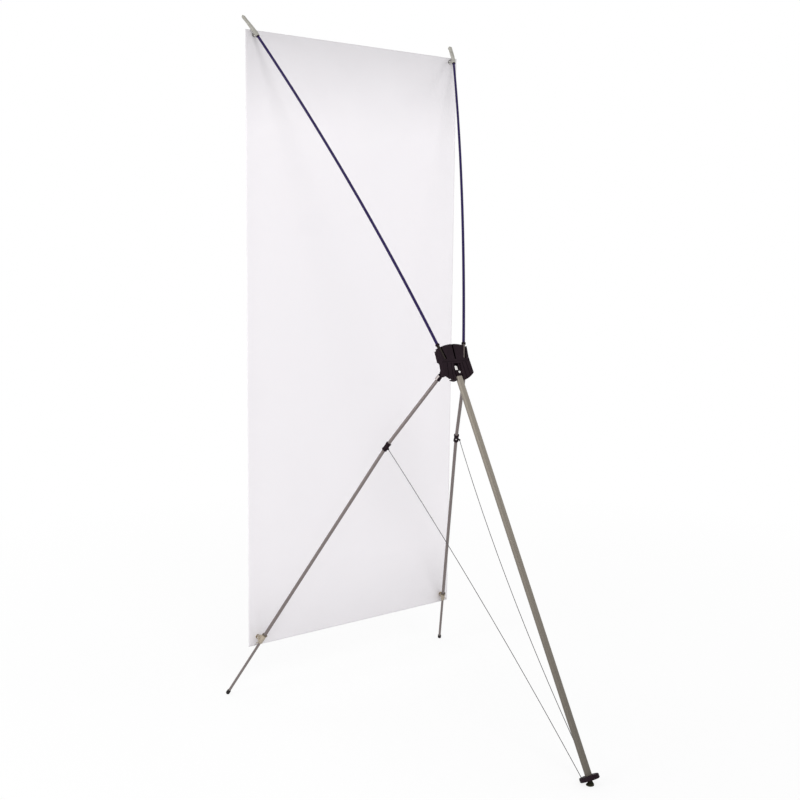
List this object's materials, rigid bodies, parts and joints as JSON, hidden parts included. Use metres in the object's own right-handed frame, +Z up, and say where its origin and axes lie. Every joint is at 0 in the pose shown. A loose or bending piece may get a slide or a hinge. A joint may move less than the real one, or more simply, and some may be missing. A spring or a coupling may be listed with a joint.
{
  "type": "tripod banner stand",
  "caption": "Folding tripod stand that stretches an upright rectangular banner between sprung upper rods and telescoping front legs, with one rear leg and stay cords.",
  "frame": {"origin": "centre of the bounding box on the floor, midway between the two front feet from side to side", "axes": "+Z up, -Y the banner's printed side, +X to the left seen from behind, where the rear leg stands at +Y"},
  "size_m": [0.8642, 1.1165, 2.0049],
  "materials": {
    "black_plastic": "satin moulded",
    "tube_metal": "champagne anodised",
    "plated_steel": "bright plated",
    "rod_resin": "glossy dark navy",
    "grey_plastic": "matt warm grey",
    "beige_plastic": "matt beige",
    "foot_rubber": "matt dark",
    "eyelet_brass": "bright",
    "banner_film": "matt white film",
    "cord": "grey braided"
  },
  "bodies": {
    "hub": {"hub_rear_cover": "black_plastic", "hub_front_cover": "black_plastic", "hub_spider": "black_plastic", "hub_screw_1": "plated_steel", "hub_screw_2": "plated_steel", "hub_screw_3": "plated_steel", "hub_screw_4": "plated_steel", "front_leg_pin_left": "plated_steel", "front_leg_pin_right": "plated_steel", "rear_leg_pin": "plated_steel"},
    "rear_leg": {"rear_leg_knuckle": "black_plastic", "rear_leg_stop_tongue": "plated_steel", "rear_leg_rivet": "plated_steel", "rear_leg_tube": "tube_metal", "rear_foot_flange": "black_plastic", "rear_foot_tip": "foot_rubber", "stay_cord_left": "cord", "stay_cord_right": "cord"},
    "banner": {"banner_sheet": "banner_film", "eyelet_top_left": "eyelet_brass", "eyelet_top_right": "eyelet_brass", "eyelet_bottom_left": "eyelet_brass", "eyelet_bottom_right": "eyelet_brass"},
    "front_leg_left": {"front_leg_knuckle_left": "black_plastic", "front_leg_tube_left": "tube_metal", "stay_clip_left": "black_plastic", "stay_clip_rivet_left": "plated_steel", "banner_hook_left": "beige_plastic", "hook_ring_left": "foot_rubber"},
    "inner_leg_left": {"front_leg_inner_tube_left": "tube_metal", "front_foot_cap_left": "foot_rubber"},
    "upper_rod_left": {"upper_rod_left": "rod_resin", "rod_ferrule_left": "plated_steel", "rod_collar_left": "black_plastic", "rod_tip_left": "grey_plastic"},
    "front_leg_right": {"front_leg_knuckle_right": "black_plastic", "front_leg_tube_right": "tube_metal", "stay_clip_right": "black_plastic", "stay_clip_rivet_right": "plated_steel", "banner_hook_right": "beige_plastic", "hook_ring_right": "foot_rubber"},
    "inner_leg_right": {"front_leg_inner_tube_right": "tube_metal", "front_foot_cap_right": "foot_rubber"},
    "upper_rod_right": {"upper_rod_right": "rod_resin", "rod_ferrule_right": "plated_steel", "rod_collar_right": "black_plastic", "rod_tip_right": "grey_plastic"}
  },
  "joints": [
    {"name": "rear_leg_fold", "type": "hinge", "parent": "hub", "child": "rear_leg", "pos_m": [0, -0.0033, 1.013], "axis": [-1, 0, 0], "range_deg": [0, 28.2], "deforming": ["stay_cord_left", "stay_cord_right"]},
    {"name": "front_leg_left_fold", "type": "hinge", "parent": "hub", "child": "front_leg_left", "pos_m": [0.041, -0.0188, 1.015], "axis": [0.8266, 0.5628, 0], "range_deg": [0, 33.2]},
    {"name": "inner_leg_left_slide", "type": "slide", "parent": "front_leg_left", "child": "inner_leg_left", "axis": [-0.3142, 0.4269, 0.848], "range_m": [0, 0.18]},
    {"name": "front_leg_right_fold", "type": "hinge", "parent": "hub", "child": "front_leg_right", "pos_m": [-0.041, -0.0188, 1.015], "axis": [0.8266, -0.5628, 0], "range_deg": [0, 33.2]},
    {"name": "inner_leg_right_slide", "type": "slide", "parent": "front_leg_right", "child": "inner_leg_right", "axis": [0.3142, 0.4269, 0.848], "range_m": [0, 0.18]},
    {"name": "banner_lift_off", "type": "slide", "parent": "hub", "child": "banner", "axis": [0, -1, 0], "range_m": [0, 0.3]},
    {"name": "upper_rod_left_pull_out", "type": "slide", "parent": "hub", "child": "upper_rod_left", "axis": [0.3069, -0.3534, 0.8837], "range_m": [0, 0.06]},
    {"name": "upper_rod_right_pull_out", "type": "slide", "parent": "hub", "child": "upper_rod_right", "axis": [-0.3069, -0.3534, 0.8837], "range_m": [0, 0.06]}
  ],
  "couplings": [
    {"joint": "front_leg_left_fold", "follows": "rear_leg_fold", "ratio": 1.177},
    {"joint": "front_leg_right_fold", "follows": "rear_leg_fold", "ratio": 1.177},
    {"joint": "upper_rod_left_pull_out", "follows": "banner_lift_off", "ratio": 0.2},
    {"joint": "upper_rod_right_pull_out", "follows": "banner_lift_off", "ratio": 0.2}
  ]
}
